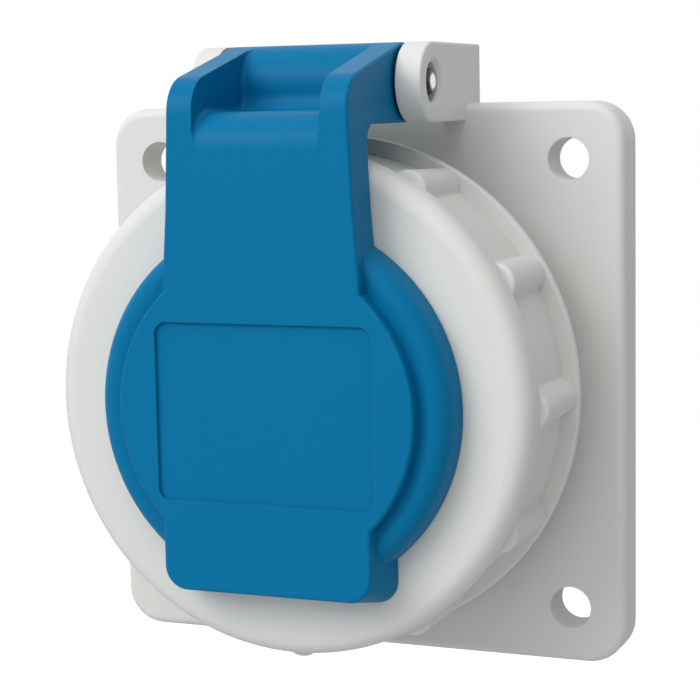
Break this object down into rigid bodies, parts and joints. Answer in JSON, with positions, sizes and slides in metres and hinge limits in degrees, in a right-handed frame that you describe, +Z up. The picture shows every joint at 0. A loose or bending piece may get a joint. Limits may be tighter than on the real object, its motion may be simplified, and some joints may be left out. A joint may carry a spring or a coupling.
{
  "type": "panel socket outlet",
  "caption": "Flange-mounted earthed round socket outlet with a sprung hinged lid and a bayonet locking ring.",
  "frame": {"origin": "on the socket's axis, in the plane of the flange's back face, which meets the panel", "axes": "+X to the right seen from the front, +Y into the panel, +Z up towards the lid's hinge"},
  "size_m": [0.075, 0.057, 0.0829],
  "materials": {
    "housing_grey": "satin light grey, fine moulded grain",
    "gasket_black": "matt",
    "pin_steel": "bright turned",
    "washer_black": "matt",
    "lid_blue": "satin blue, fine moulded grain",
    "retainer_blue": "matt blue",
    "screw_zinc": "bright zinc plated",
    "seal_rubber": "matt",
    "spring_steel": "drawn wire",
    "ring_grey": "satin light grey, fine moulded grain",
    "insert_grey": "satin light grey",
    "block_white": "matt off-white",
    "contact_brass": "machined",
    "earth_strip": "nickel-plated strip"
  },
  "bodies": {
    "housing": {"flange_housing": "housing_grey", "flange_gasket": "gasket_black", "hinge_pin": "pin_steel", "hinge_washer_right": "washer_black", "hinge_washer_left": "washer_black", "socket_insert": "insert_grey", "insert_seal": "seal_rubber", "earth_clip": "earth_strip", "terminal_block": "block_white", "earth_terminal": "contact_brass", "centre_screw": "screw_zinc", "live_contact": "contact_brass", "neutral_contact": "contact_brass", "live_contact_spring": "spring_steel", "neutral_contact_spring": "spring_steel", "live_terminal_screw": "screw_zinc", "neutral_terminal_screw": "screw_zinc", "earth_terminal_screw": "screw_zinc"},
    "lid": {"lid": "lid_blue", "lid_retainer": "retainer_blue", "lid_seal": "seal_rubber", "lid_screws": "screw_zinc", "lid_spring": "spring_steel"},
    "ring": {"bayonet_ring": "ring_grey"}
  },
  "joints": [
    {"name": "lid_hinge", "type": "hinge", "parent": "housing", "child": "lid", "pos_m": [0, -0.0181, 0.04025], "axis": [-1, 0, 0], "range_deg": [0, 120], "stiffness_Nm_per_rad": 0.06, "springref_deg": -45.84, "deforming": ["lid_spring"]},
    {"name": "ring_turn", "type": "hinge", "parent": "lid", "child": "ring", "pos_m": [0, -0.03095, 0], "axis": [0, 1, 0], "range_deg": [0, 45]}
  ]
}
